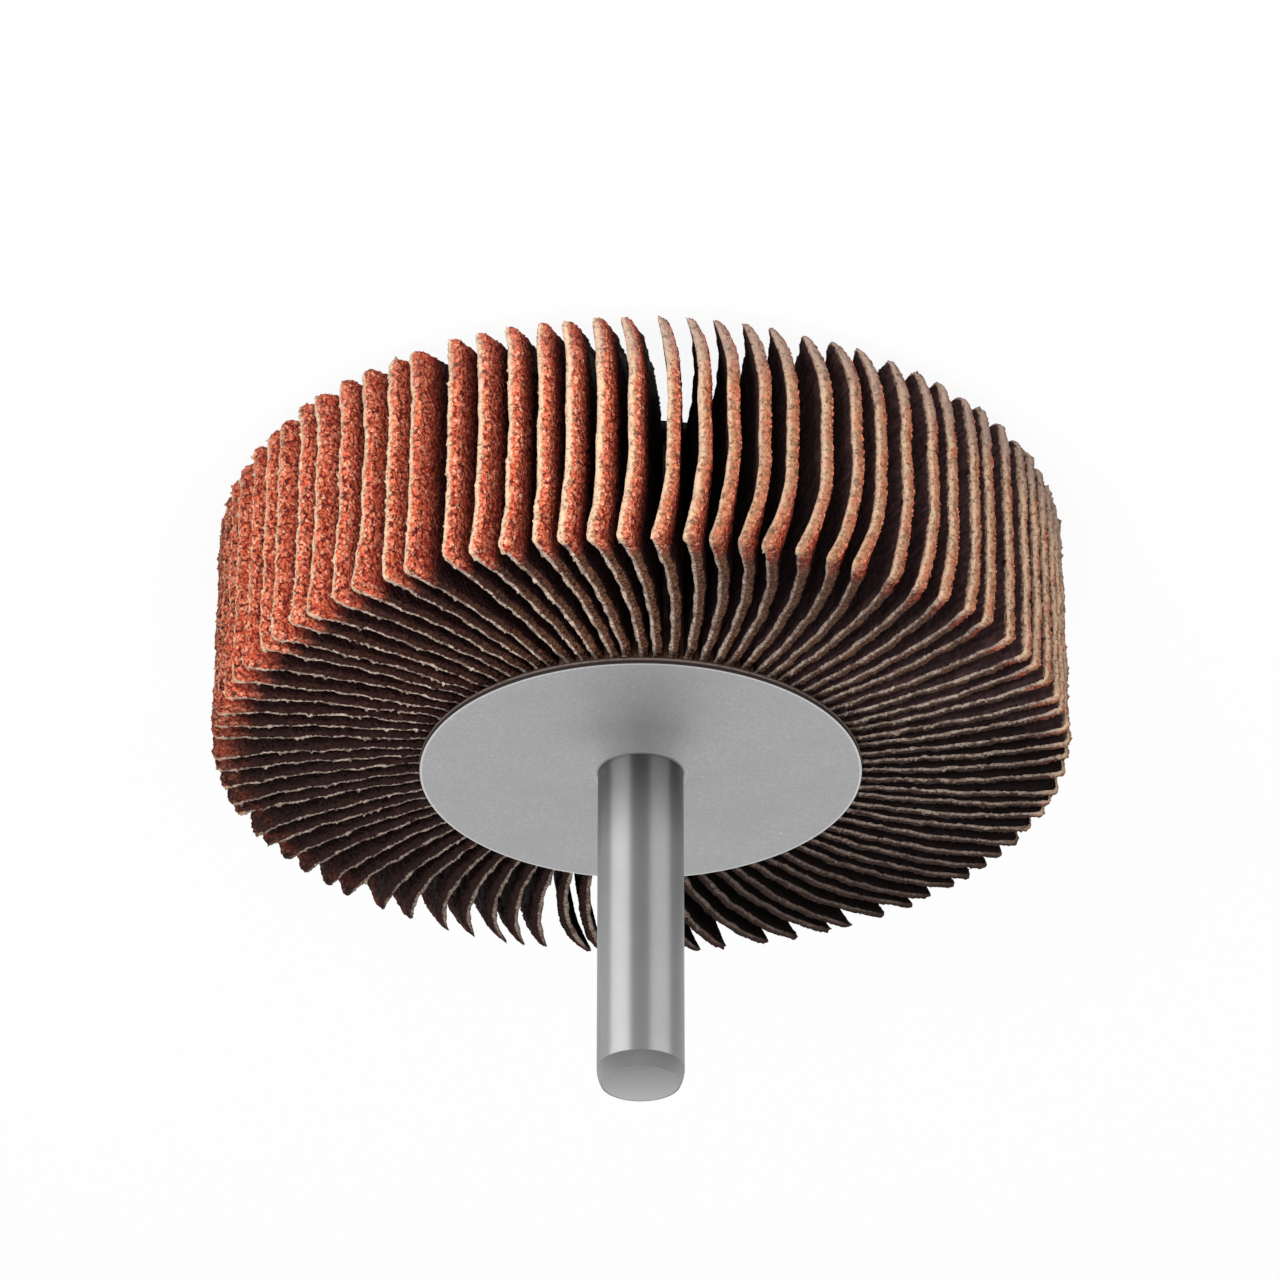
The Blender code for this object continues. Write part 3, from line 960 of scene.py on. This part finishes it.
    def bend(self, places: Array, lift: Array, pose: FlapPose, ripple: Array) -> Array:
        """Bends a flat sheet into its place on the wheel, whose rim is trimmed round.

        Args:
            places: Places on the flat sheet, in millimetres.
            lift: Height of each over the sheet's middle, towards its grit, in millimetres.
            pose: How the flap stands.
            ripple: Extra lean of the tip at each place.

        Returns:
            The places in metres.
        """
        out = places[:, 0] * MM
        height = places[:, 1] * MM
        share = out / self.length
        tip_lean = self.tip_lean + pose.lean_offset + pose.curl_share * self.curl(height) + ripple
        parts = (np.arange(self.walk_parts) + 0.5) / self.walk_parts
        lean = self.root_lean + (tip_lean[:, None] - self.root_lean) * (share[:, None] * parts[None, :]) ** 2
        full = self.root_lean + (tip_lean[:, None] - self.root_lean) * parts[None, :] ** 2
        trimmed = (self.wheel_radius - self.core_radius) / np.cos(full).mean(axis=1)
        step = (share * trimmed)[:, None] / self.walk_parts
        rise = np.cos(lean) * step
        radius = self.core_radius + np.cumsum(rise, axis=1)
        angle = pose.root_angle + (np.sin(lean) * step / (radius - rise / 2.0)).sum(axis=1)
        radius = radius[:, -1]
        across = angle + self.root_lean + (tip_lean - self.root_lean) * share ** 2 - math.pi / 2.0
        thickness = self.root_thinning + (1.0 - self.root_thinning) * share
        lift = lift * thickness * MM
        return np.stack([radius * np.cos(angle) + lift * np.cos(across),
                         radius * np.sin(angle) + lift * np.sin(across),
                         self.bottom + height], axis=1)

    def waver(self, places: Array, waves: Waves, chance: np.random.Generator) -> Array:
        """Adds up a few sine waves with chance phases.

        Args:
            places: Where to read them.
            waves: Length and height of each wave.
            chance: Source of the phases.

        Returns:
            Their sum at each place.
        """
        total = np.zeros(len(places))
        for length, height in waves:
            total += height * np.sin(math.tau * (places / length + chance.random()))
        return total

    def edge_points(self, chance: np.random.Generator) -> tuple[list[Array], list[Array]]:
        """Makes the rows of points over the cut edge, from the grit face to the cloth face.

        Args:
            chance: Source of this flap's chance values.

        Returns:
            The rows' places on the plan, and their lifts.
        """
        plan = self.plan
        count = len(plan.outline)
        ragged = self.waver(np.arange(count), self.cut_waves, chance) - self.cut_inset
        places = []
        lifts = []
        for row, (lift, outward, spread) in enumerate(self.edge_rows):
            reach = ragged + outward + chance.uniform(-spread, spread, count)
            if row in self.frayed_rows:
                frayed = chance.random(count) < self.fray_share
                reach += frayed * chance.uniform(0.0, self.fray_reach, count)
            places.append(plan.outline + reach[:, None] * plan.normals)
            lifts.append(lift + chance.uniform(-spread, spread, count) * self.edge_lift_share)
        return places, lifts

    def chip_corners(self, places: Array, lift: Array, pose: FlapPose) -> Array:
        """Thins the corners of a flap to claws, from the grit side, each on its own side of the wheel.

        Args:
            places: Places on the flat sheet, in millimetres.
            lift: Height of each over the sheet's middle.
            pose: How the flap stands.

        Returns:
            The heights with the corners chipped.
        """
        tip = np.clip(1.0 - (self.length / MM - places[:, 0]) / self.claw_reach, 0.0, 1.0)
        low = self.edge_rows[-1][0]
        gaps = ((self.front_claws, self.width / MM - places[:, 1]), (self.rear_claws, places[:, 1]))
        for (bearing, spread, share), gap in gaps:
            away = math.remainder(pose.root_angle - bearing, math.tau) / spread
            side = np.clip(1.0 - gap / self.claw_reach, 0.0, 1.0)
            lift = low + (lift - low) * (1.0 - share * math.exp(-away ** 2) * tip * side ** 2)
        return lift

    def flap_mesh(self, index: int, pose: FlapPose) -> Mesh:
        """Builds one flap's mesh.

        Args:
            index: The flap's number.
            pose: How it stands.

        Returns:
            The closed mesh, with a material slot for each side.
        """
        chance = np.random.default_rng(self.wear_seed + index)
        rows, lifts = self.edge_points(chance)
        count = len(self.plan.outline)
        top, low = self.edge_rows[0][0], self.edge_rows[-1][0]
        grit_lift = self.grain_lift + chance.uniform(-1.0, 1.0, len(self.grit_inner)) * self.grain_spread
        cloth_lift = low + chance.uniform(-self.cloth_spread, self.cloth_spread, len(self.cloth_inner))
        places = np.concatenate([rows[0], self.grit_inner, *rows[1:], self.cloth_inner])
        lift = np.concatenate([lifts[0], grit_lift, *lifts[1:], cloth_lift])
        lift += self.waver(places[:, 0], self.side_waves, chance)
        ripple = self.waver(places[:, 1], self.tip_waves, chance)
        points = self.bend(places, self.chip_corners(places, lift, pose), pose, ripple)
        starts = [0] + [count * row + len(self.grit_inner) for row in range(1, len(rows))]
        faces = self.grit_faces.tolist() + (self.cloth_faces[:, ::-1] + starts[-1]).tolist()
        around = np.arange(count)
        after = (around + 1) % count
        for upper, lower in zip(starts, starts[1:]):
            faces += np.stack([lower + around, lower + after, upper + after, upper + around], 1).tolist()
        sides = np.full(len(faces), Side.CUT_EDGE.value, dtype=np.int32)
        sides[:len(self.grit_faces)] = Side.GRIT.value
        sides[len(self.grit_faces):len(self.grit_faces) + len(self.cloth_faces)] = Side.CLOTH.value
        mesh = bpy.data.meshes.new(f"flap_{index + 1:02d}")
        mesh.from_pydata(points.tolist(), [], faces)
        mesh.polygons.foreach_set("material_index", sides)
        self.store(mesh, "layer", (lift - low) / (top - low))
        self.store(mesh, "from_tip", self.length / MM - places[:, 0])
        self.store(mesh, "from_edge", np.maximum(0.0, self.plan.edge_gap(places)))
        mesh.shade_smooth()
        mesh.update()
        return mesh

    @staticmethod
    def store(mesh: Mesh, name: str, values: Array) -> None:
        """Stores a number at each vertex of a mesh."""
        layer = mesh.attributes.new(name, "FLOAT", "POINT")
        layer.data.foreach_set("value", values.astype(np.float32))

    def build(self, *finishes: Material) -> list[Piece]:
        """Builds all flaps.

        Args:
            *finishes: Materials of the grit, cloth and cut edge.

        Returns:
            The flap objects.
        """
        meshes = [self.flap_mesh(index, pose) for index, pose in enumerate(self.poses())]
        return [place_piece(mesh, Slot.ABRASIVE_CLOTH, "flap_pack", *finishes) for mesh in meshes]


def place_piece(mesh: Mesh, slot: Slot, node: str, *finishes: Material) -> Piece:
    """Adds a piece of the wheel to the scene.

    Args:
        mesh: The piece's mesh, whose name it takes.
        slot: The record's slot of the finish; it is not used.
        node: The rigid node that it replaces.
        *finishes: Materials for the mesh's own slots.

    Returns:
        The new object, riding on the wheel's one body.
    """
    for finish in finishes:
        mesh.materials.append(finish)
    piece = bpy.data.objects.new(mesh.name, mesh)
    bpy.context.scene.collection.objects.link(piece)
    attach(piece, "root")
    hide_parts(node)
    return piece


@dataclass
class Lathe:
    """Turns profiles round the wheel's axis."""

    steps: int
    sharp: float = math.radians(35.0)

    def turn(self, name: str, profile: Profile, closed: bool) -> Mesh:
        """Turns a profile into a mesh.

        Args:
            name: The mesh's name.
            profile: Radius and height of each point, in metres, anticlockwise.
            closed: True for a ring that doesn't reach the axis.

        Returns:
            The turned mesh.
        """
        points: list[tuple[float, float, float]] = []
        rows: list[list[int]] = []
        for radius, height in profile:
            copies = self.steps if radius > 0.0 else 1
            rows.append(list(range(len(points), len(points) + copies)))
            for step in range(copies):
                angle = math.tau * step / self.steps
                points.append((radius * math.cos(angle), radius * math.sin(angle), height))
        pairs = list(zip(rows, rows[1:] + rows[:1] if closed else rows[1:]))
        faces = [face for low, high in pairs for face in self.band(low, high)]
        mesh = bpy.data.meshes.new(name)
        mesh.from_pydata(points, [], faces)
        mesh.shade_smooth()
        mesh.set_sharp_from_angle(angle=self.sharp)
        return mesh

    def band(self, low: list[int], high: list[int]) -> list[tuple[int, ...]]:
        """Gives the faces between two rows of points, either of which may be a single point."""
        faces = []
        for step in range(self.steps):
            after = (step + 1) % self.steps
            ring = [low[place % len(low)] for place in (step, after)]
            ring += [high[place % len(high)] for place in (after, step)]
            faces.append(tuple(dict.fromkeys(ring)))
        return faces


def rounded(corner: Pair, before: Pair, after: Pair, radius: float, parts: int = 4) -> Profile:
    """Rounds a corner of a profile.

    Args:
        corner: The sharp corner.
        before: The profile's point before it.
        after: The profile's point after it.
        radius: Size of the round, as the distance cut from each side.
        parts: Number of steps in the round.

    Returns:
        The points that replace the corner.
    """
    middle, first, last = Vector(corner), Vector(before), Vector(after)
    start = middle + (first - middle).normalized() * radius
    end = middle + (last - middle).normalized() * radius
    points = []
    for part in range(parts + 1):
        share = part / parts
        point = start.lerp(middle, share).lerp(middle.lerp(end, share), share)
        points.append((point.x, point.y))
    return points


@dataclass
class ResinCore:
    """The ring of cured resin that the flap roots are cast in."""

    radius: float = 0.0141
    bore: float = 0.0033
    recess: float = 0.0082
    bottom: float = 0.00085
    recess_top: float = 0.00205
    top: float = 0.01820
    lip: float = 0.0136
    lip_top: float = 0.01880
    rows: int = 40
    steps: int = 252

    def build(self, finish: Material) -> Piece:
        """Builds the core.

        Args:
            finish: The resin.

        Returns:
            The core object.
        """
        heights = np.linspace(self.bottom, self.top, self.rows)
        profile = [(self.bore, self.recess_top), (self.recess, self.recess_top), (self.recess, self.bottom)]
        profile += [(self.radius, float(height)) for height in heights]
        profile += [(self.lip, self.top), (self.lip, self.lip_top), (self.bore, self.lip_top)]
        mesh = Lathe(self.steps).turn("resin_core", profile, closed=True)
        return place_piece(mesh, Slot.ABRASIVE_CLOTH, "flap_pack", finish)


@dataclass
class EndDiscs:
    """The two pressed steel discs that clamp the flaps."""

    radius: float = 0.0155
    thickness: float = 0.00060
    edge_round: float = 0.00008
    front_bottom: float = 0.01895
    washer_height: float = 0.00033
    groove: float = 0.00014
    washer_fall: float = 0.4
    rim_grooves: float = 2.0
    rim_rounds: float = 2.0
    rim_gap: float = 0.1
    shank_hole: float = 0.00302
    neck_hole: float = 0.0025
    dish_radius: float = 0.0078
    dish_floor: float = 0.0064
    dish_depth: float = 0.0013
    burr_width: float = 0.00030
    burr_height: float = 0.00004
    burr_foot: float = 0.00004
    burr_crest: float = 0.6
    burr_shoulder: float = 0.7
    face_rings: tuple[float, ...] = (0.0130, 0.0100, 0.0070)
    bend_round: float = 0.0007
    steps: int = 240

    def rim(self, bottom: float) -> Profile:
        """Gives the rounded outer edge, from its lower to its upper face."""
        top = bottom + self.thickness
        low = rounded((self.radius, bottom), (0.0, bottom), (self.radius, top), self.edge_round)
        high = rounded((self.radius, top), (self.radius, bottom), (0.0, top), self.edge_round)
        return low + high

    def place(self, mesh: Mesh, node: str, finishes: tuple[Material, Material], rim: Pair) -> Piece:
        """Places a disc, with its second finish on the rim.

        Args:
            mesh: The disc's mesh.
            node: The rigid node that it replaces.
            finishes: The sheet steel and the shaded rim, painted dark as shade.
            rim: Width and top of the rim.

        Returns:
            The disc object.
        """
        width, top = rim
        piece = place_piece(mesh, Slot.SHEET_STEEL, node, *finishes)
        for face in mesh.polygons:
            outer = math.hypot(face.center.x, face.center.y) > self.radius - width
            face.material_index = int(outer and face.center.z < top)
        return piece

    def build_front(self, finishes: tuple[Material, Material]) -> Piece:
        """Builds the flat disc round the shank, with its fibre washer and the burr of its punched hole.

        Args:
            finishes: The sheet steel, and the shaded rim, painted dark as shade, that the washer shares.

        Returns:
            The disc object.
        """
        bottom = self.front_bottom
        top = bottom + self.thickness
        hole = self.shank_hole
        edge = self.radius
        seam = bottom + self.washer_height
        profile = [(hole, bottom), (edge - self.groove, bottom), (edge, bottom + self.groove),
                   (edge, seam), (edge - self.groove, seam + self.washer_fall * self.groove)]
        profile += rounded((edge, top), (edge, bottom), (0.0, top), self.edge_round)
        profile += [(radius, top) for radius in (*self.face_rings, hole + self.burr_width + self.burr_foot)]
        burr_top = top + self.burr_height
        profile += [(hole + self.burr_width, top + self.burr_height * self.burr_shoulder),
                    (hole + self.burr_crest * self.burr_width, burr_top), (hole, burr_top)]
        mesh = Lathe(self.steps).turn("front_disc_sheet", profile, closed=True)
        rim = (self.rim_grooves * self.groove, top - self.rim_gap * self.edge_round)
        return self.place(mesh, "front_disc", finishes, rim)

    def build_rear(self, finishes: tuple[Material, Material]) -> Piece:
        """Builds the disc that the wheel stands on, with its pressed dish.

        Args:
            finishes: The sheet steel and the shaded rim, painted dark as shade.

        Returns:
            The disc object.
        """
        slope = math.atan2(self.dish_depth, self.dish_radius - self.dish_floor)
        shift = self.thickness * math.tan(slope / 2.0)
        hole = self.neck_hole
        depth = self.dish_depth
        top = self.thickness
        edge = self.radius
        lower = [(hole, depth), (self.dish_floor, depth), (self.dish_radius, 0.0), (edge, 0.0)]
        upper = [(edge, top), (self.dish_radius + shift, top), (self.dish_floor + shift, depth + top),
                 (hole, depth + top)]
        bends = [rounded(line[place], line[place - 1], line[place + 1], self.bend_round)
                 for line in (lower, upper) for place in (1, 2)]
        profile = [lower[0], *bends[0], *bends[1], *self.rim(0.0), *bends[2], *bends[3], upper[3]]
        mesh = Lathe(self.steps).turn("rear_disc_sheet", profile, closed=True)
        return self.place(mesh, "rear_disc", finishes, (self.rim_rounds * self.edge_round, math.inf))


@dataclass
class Spindle:
    """The turned spindle: riveted head, neck, shoulder and straight shank."""

    radius: float = 0.0030
    foot: float = 0.0195
    top: float = 0.04355
    rows: int = 12
    steps: int = 160
    end_reach: float = 0.00115
    end_inset: float = 0.00028
    end_shares: tuple[float, ...] = (0.25, 0.5, 0.75, 1.0)
    neck: float = 0.0024
    shoulder: float = 0.00205
    head_radius: float = 0.0042
    head_bottom: float = 0.00035
    head_top: float = 0.00115
    head_bevel: float = 0.00040
    bevel_parts: int = 6

    def build(self, *finishes: Material) -> Piece:
        """Builds the spindle.

        Args:
            *finishes: The turned steel, and the faced end of the shank.

        Returns:
            The spindle object.
        """
        middle = (0.0, self.head_bottom)
        shelf = (self.head_radius, self.head_top)
        crown = (self.head_radius, self.head_bottom)
        profile = [middle, *rounded(crown, middle, shelf, self.head_bevel, self.bevel_parts), shelf]
        profile += [(self.neck, self.head_top), (self.neck, self.shoulder), (self.radius, self.shoulder)]
        end = self.top - self.end_reach
        profile += [(self.radius, float(height)) for height in np.linspace(self.foot, end, self.rows)]
        for share in self.end_shares:
            inset = self.end_inset * share ** 2
            profile.append((self.radius - inset, self.top - self.end_reach * (1.0 - share)))
        profile += [(self.radius * 0.5, self.top), (0.0, self.top)]
        mesh = Lathe(self.steps).turn("turned_spindle", profile, closed=False)
        piece = place_piece(mesh, Slot.TURNED_STEEL, "spindle", *finishes)
        for face in mesh.polygons:
            face.material_index = int(face.center.z > end)
        return piece


@dataclass(frozen=True)
class Softbox:
    """A soft rectangular lamp.

    Attributes:
        name: The lamp's name.
        bearing: Degrees from the camera's side, to the picture's left.
        height: Degrees above the floor.
        reach: Distance from the wheel.
        size: Width and height.
        power: Power in watts.
        for_metal: True if it shows only in metal, and False if it lights only matt surfaces.
    """

    name: str
    bearing: float
    height: float
    reach: float
    size: Pair
    power: float
    for_metal: bool


@dataclass
class Studio:
    """The pale floor, the soft lights and the camera."""

    picture_size: float = 1280.0
    focal_pixels: float = 5706.0
    distance: float = 0.400
    elevation: float = math.radians(29.2)
    face_height: float = 0.01825
    face_pixel: Pair = (640.7, 758.3)
    sensor_width: float = 36.0
    floor_size: float = 6.0
    floor_tone: Color = (0.95, 0.95, 0.95)
    floor_glow: Pair = (0.92, 1.0)
    floor_blend: Pair = (0.10, 1.20)
    lamp_aim: float = 0.012
    lamps: tuple[Softbox, ...] = (
        Softbox("left_softbox", 38.0, 12.0, 0.60, (0.40, 0.34), 2.7, False),
        Softbox("front_softbox", -8.0, 20.0, 0.60, (0.44, 0.34), 2.3, False),
        Softbox("right_softbox", -62.0, 10.0, 0.60, (0.52, 0.34), 0.9, False),
        Softbox("top_softbox", 0.0, 78.0, 0.80, (0.60, 0.60), 3.5, False),
        Softbox("left_glint", 54.0, 10.0, 0.60, (0.60, 0.34), 5.8, True),
        Softbox("side_glint", 104.0, 10.0, 0.60, (0.40, 0.34), 0.7, True),
        Softbox("right_glint", -51.0, 10.0, 0.60, (0.60, 0.34), 3.2, True),
        Softbox("top_glint", 0.0, 75.0, 0.80, (0.60, 0.60), 0.8, True))
    sky: float = 0.26

    def add_camera(self) -> bpy.types.Object:
        """Adds the camera, rolled so that the shank points down in the picture."""
        back = Vector((0.0, -math.cos(self.elevation), math.sin(self.elevation)))
        right = Vector((-1.0, 0.0, 0.0))
        up = back.cross(right)
        face = Vector((0.0, 0.0, self.face_height))
        place = face + back * self.distance
        half = self.picture_size / 2.0
        shift = right * (half - self.face_pixel[0]) + up * (self.face_pixel[1] - half)
        aim = face + shift * self.distance / self.focal_pixels
        back = (place - aim).normalized()
        right = up.cross(back).normalized()
        up = back.cross(right)
        lens = bpy.data.cameras.new("camera")
        lens.sensor_width = self.sensor_width
        lens.lens = self.focal_pixels / self.picture_size * self.sensor_width
        camera = bpy.data.objects.new("camera", lens)
        camera.matrix_world = Matrix.Translation(place) @ Matrix((right, up, back)).transposed().to_4x4()
        bpy.context.scene.collection.objects.link(camera)
        bpy.context.scene.camera = camera
        return camera

    def add_lights(self) -> None:
        """Adds the softboxes, which face the wheel."""
        for lamp in self.lamps:
            light = bpy.data.lights.new(lamp.name, "AREA")
            light.shape = "RECTANGLE"
            light.size, light.size_y = lamp.size
            light.energy = lamp.power
            turn, rise = math.radians(lamp.bearing), math.radians(lamp.height)
            away = Vector((math.sin(turn) * math.cos(rise), -math.cos(turn) * math.cos(rise), math.sin(rise)))
            item = bpy.data.objects.new(lamp.name, light)
            item.location = Vector((0.0, 0.0, self.lamp_aim)) + away * lamp.reach
            item.rotation_euler = away.to_track_quat("Z", "Y").to_euler()
            item.visible_diffuse = not lamp.for_metal
            item.visible_glossy = lamp.for_metal
            bpy.context.scene.collection.objects.link(item)

    def add_sky(self) -> None:
        """Adds an even pale surround, white where it is seen."""
        world = bpy.data.worlds.new("pale_surround")
        world.use_nodes = True
        bpy.context.scene.world = world
        sheet = NodeSheet(world.node_tree)
        background = world.node_tree.nodes["Background"]
        sheet.feed(background.inputs["Color"], (1.0, 1.0, 1.0))
        sheet.feed(background.inputs["Strength"], sheet.span(sheet.seen(), 0.0, 1.0, self.sky, 1.0))

    def add_floor(self) -> bpy.types.Object:
        """Adds the plain pale floor."""
        half = self.floor_size / 2.0
        mesh = bpy.data.meshes.new("floor")
        corners = [(-half, -half, 0.0), (half, -half, 0.0), (half, half, 0.0), (-half, half, 0.0)]
        mesh.from_pydata(corners, [], [(0, 1, 2, 3)])
        sheet = ShaderSheet("pale_floor")
        matt = sheet.finished(Base_Color=self.floor_tone, Roughness=1.0, Specular_IOR_Level=0.0)
        mesh.materials.append(matt)
        away = sheet.add("VectorMath", {0: sheet.place}, "Value", operation="LENGTH")
        share = sheet.times(sheet.seen(), sheet.span(away, *self.floor_blend, *self.floor_glow))
        looks = {0: share, 1: sheet.surface.outputs[0], 2: sheet.add("Emission", {}, 0)}
        output = sheet.tree.nodes["Material Output"].inputs["Surface"]
        sheet.feed(output, sheet.add("MixShader", looks, 0))
        floor = bpy.data.objects.new("floor", mesh)
        bpy.context.scene.collection.objects.link(floor)
        return floor

    def build(self) -> None:
        """Sets up the whole studio."""
        bpy.context.scene.view_settings.view_transform = "Standard"
        self.add_camera()
        self.add_lights()
        self.add_sky()
        self.add_floor()


def main() -> None:
    """Builds the wheel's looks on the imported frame."""
    logging.basicConfig(level=logging.INFO, format="%(message)s")
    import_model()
    Studio().build()
    coat = GritCoat()
    flaps = FlapRing().build(coat.material(), BackingCloth().material(), CutFlapEdge(coat).material())
    core = ResinCore().build(CuredResin().material())
    discs = EndDiscs()
    steels = (PressedSheetSteel().material(), ShadedRim().material())
    front, rear = discs.build_front(steels), discs.build_rear(steels)
    spindle = Spindle().build(TurnedShankSteel().material(), FacedEndSteel().material())
    LOG.info("flaps: %d", len(flaps))
    for piece in (flaps[0], core, front, rear, spindle):
        LOG.info("%s: %d faces", piece.name, len(piece.data.polygons))


if __name__ == "__main__":
    main()
